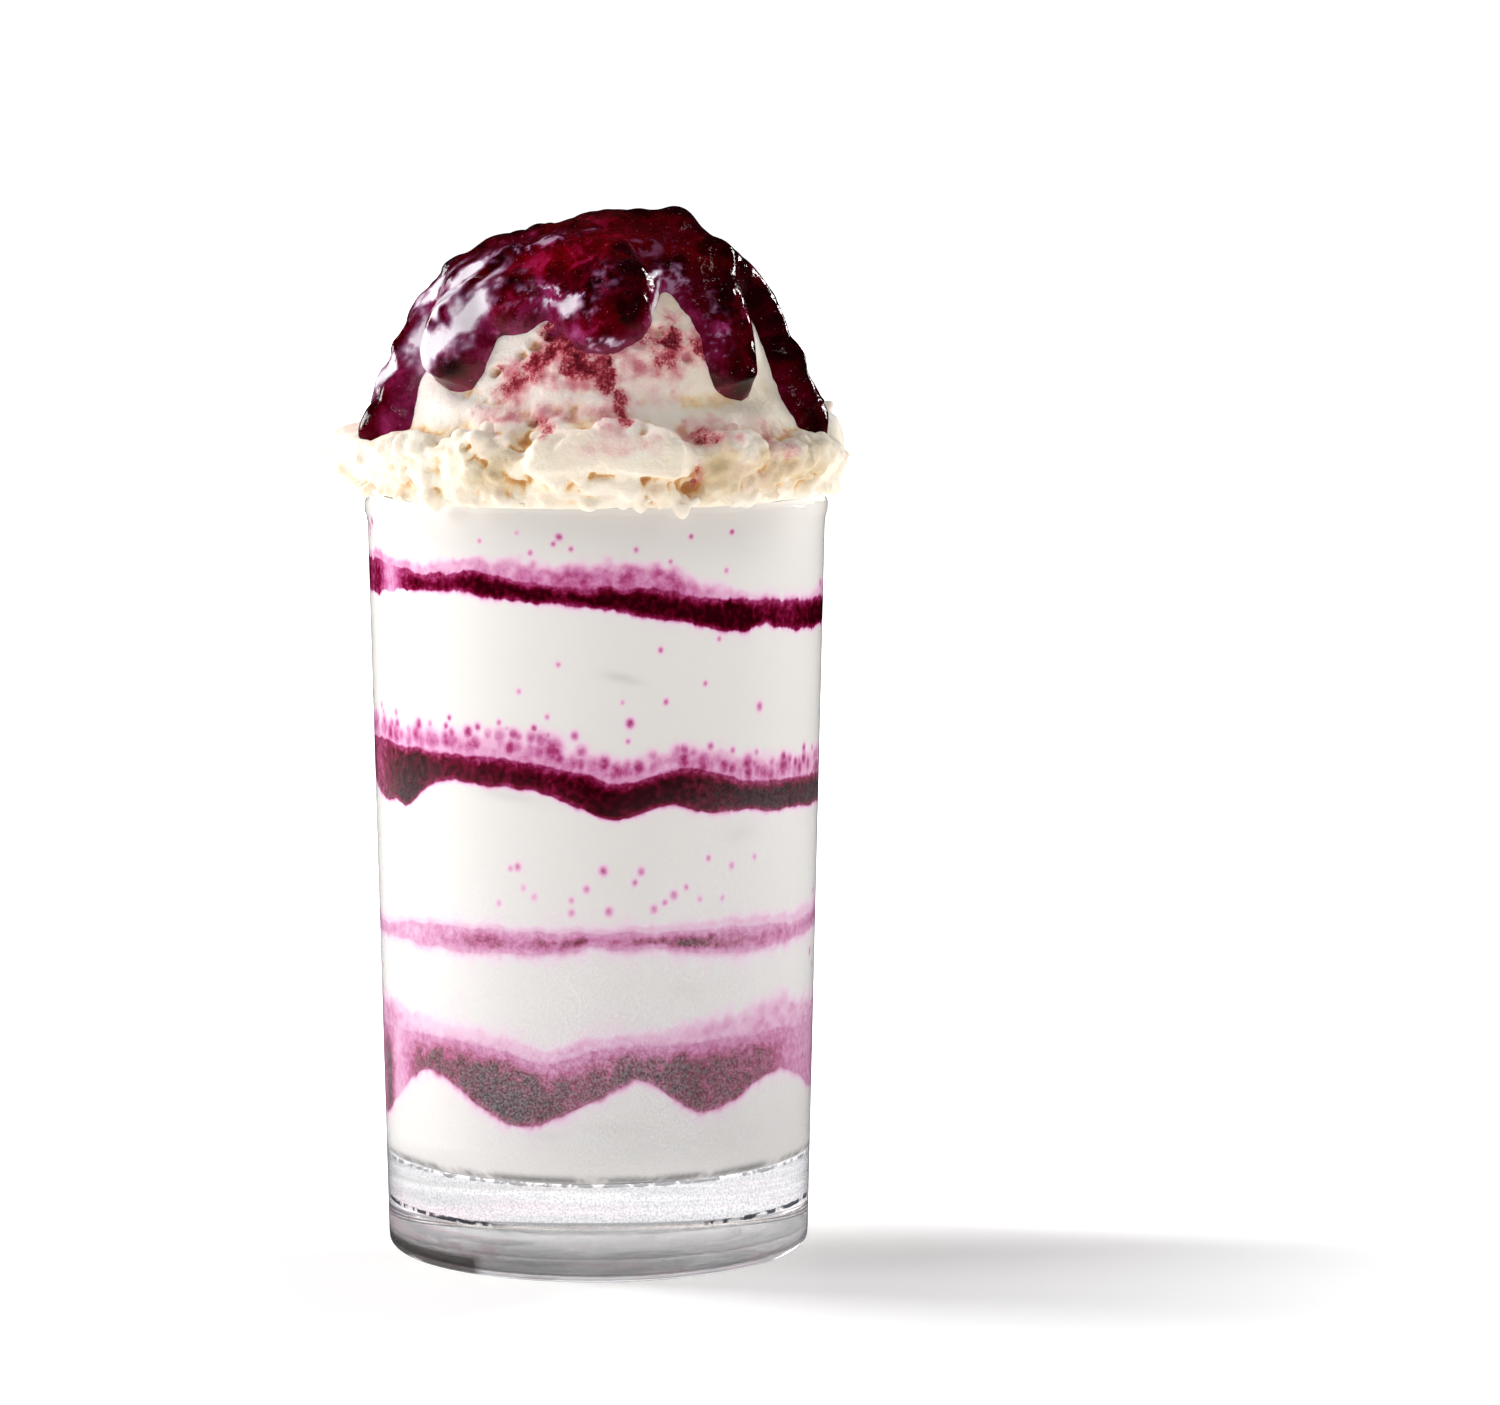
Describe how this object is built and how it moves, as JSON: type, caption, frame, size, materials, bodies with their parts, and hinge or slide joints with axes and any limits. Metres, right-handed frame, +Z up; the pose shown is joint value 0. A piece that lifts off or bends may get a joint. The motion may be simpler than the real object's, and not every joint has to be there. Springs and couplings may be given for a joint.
{
  "type": "ice cream sundae in a tumbler",
  "caption": "Tall clear tumbler filled with bands of white cream and dark fruit sauce, topped by a ragged scoop of rippled ice cream with glossy fruit sauce poured over it.",
  "frame": {"origin": "centre of the glass's flat underside, on the surface it stands on", "axes": "+Z up along the glass's axis; -Y towards the side seen in the picture, +X to its right"},
  "size_m": [0.0858, 0.0833, 0.1737],
  "materials": {
    "glass": "clear polished glass, lightly frosted by condensation on its lower half",
    "cream": "soft white cream, satin",
    "band_sauce": "dark wine-red fruit sauce pressed against glass",
    "ice_cream": "ivory vanilla ice cream with pink and wine-red ripple, crumbly at its skirt",
    "poured_sauce": "wet, glossy, deep wine-red to purple fruit sauce"
  },
  "bodies": {
    "root": {"glass": "glass", "cream_bottom": "cream", "sauce_bottom": "band_sauce", "cream_lower": "cream", "sauce_lower": "band_sauce", "cream_middle": "cream", "sauce_middle": "band_sauce", "cream_upper": "cream", "sauce_upper": "band_sauce", "cream_top": "cream", "scoop": "ice_cream", "sauce_topping": "poured_sauce"}
  },
  "joints": []
}
